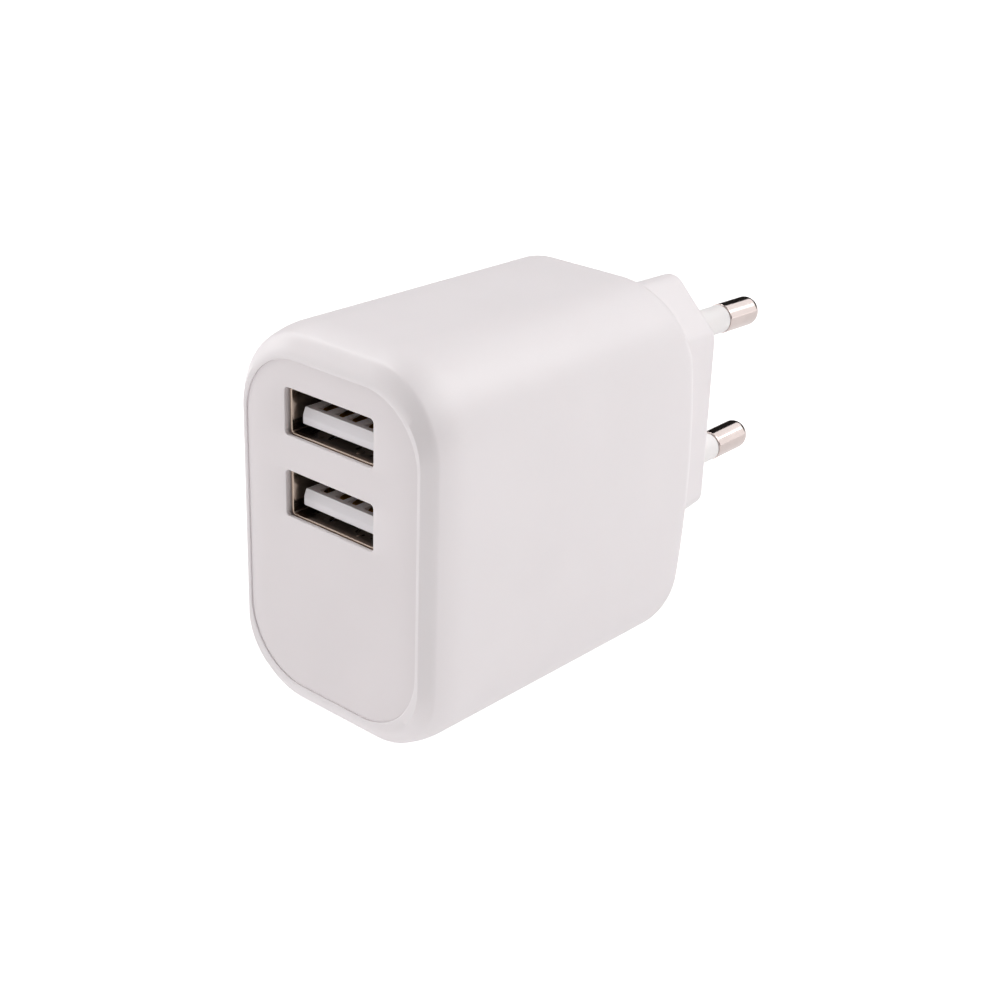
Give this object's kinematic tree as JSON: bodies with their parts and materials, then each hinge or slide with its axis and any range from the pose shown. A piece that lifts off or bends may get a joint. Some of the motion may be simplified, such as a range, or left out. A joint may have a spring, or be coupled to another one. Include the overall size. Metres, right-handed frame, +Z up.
{
  "type": "usb wall charger",
  "caption": "Rounded-box USB mains charger: stacked sockets in an inset front panel, and a flat two-pin European plug on the back.",
  "frame": {"origin": "middle of the plug's wall face, halfway between the two pins", "axes": "+Y out of the plug's wall face, along the pins; +Z up along the line through both pins; +X to the right seen from the front panel, which faces -Y"},
  "size_m": [0.0308, 0.0789, 0.046],
  "materials": {
    "housing": "satin moulded polycarbonate",
    "panel": "fine satin moulded polycarbonate",
    "socket_steel": "tin-plated stamped sheet",
    "insulator": "moulded PBT",
    "contact_gold": "thin gold flash over nickel",
    "pin_nickel": "bright nickel plate on brass",
    "pin_sleeve": "moulded nylon",
    "lead_wire": "PVC insulation",
    "circuit_board": "green solder mask on glass laminate",
    "insulating_sheet": "pressed insulating paper",
    "polymer_can": "bare drawn can",
    "sleeved_can": "shrunk sleeve on a drawn can",
    "epoxy_black": "moulded epoxy",
    "ferrite": "ground sintered ferrite",
    "bobbin": "moulded phenolic",
    "winding_tape": "polyester tape over enamelled wire",
    "resistor_coat": "dipped cement coat",
    "inductor_core": "shrunk sleeve on a drum core",
    "disc_coat": "dipped epoxy coat"
  },
  "bodies": {
    "root": {"housing": "housing", "front_panel": "panel", "usb_shell_upper": "socket_steel", "usb_shell_lower": "socket_steel", "usb_insulator_upper": "insulator", "usb_insulator_lower": "insulator", "usb_contact_upper_1": "contact_gold", "usb_contact_upper_2": "contact_gold", "usb_contact_upper_3": "contact_gold", "usb_contact_upper_4": "contact_gold", "usb_contact_lower_1": "contact_gold", "usb_contact_lower_2": "contact_gold", "usb_contact_lower_3": "contact_gold", "usb_contact_lower_4": "contact_gold", "pin_upper": "pin_nickel", "pin_lower": "pin_nickel", "pin_sleeve_upper": "pin_sleeve", "pin_sleeve_lower": "pin_sleeve", "pin_lead_upper": "lead_wire", "pin_lead_lower": "lead_wire", "usb_board": "circuit_board", "main_board": "circuit_board", "insulating_sheet": "insulating_sheet", "output_capacitor_1": "polymer_can", "output_capacitor_2": "polymer_can", "bulk_capacitor_1": "sleeved_can", "bulk_capacitor_2": "sleeved_can", "controller_chip": "epoxy_black", "bridge_rectifier": "epoxy_black", "optocoupler": "epoxy_black", "output_diode": "epoxy_black", "port_controller": "epoxy_black", "transformer_core": "ferrite", "transformer_bobbin": "bobbin", "transformer_winding": "winding_tape", "fusible_resistor": "resistor_coat", "filter_inductor": "inductor_core", "safety_capacitor": "disc_coat"}
  },
  "joints": []
}
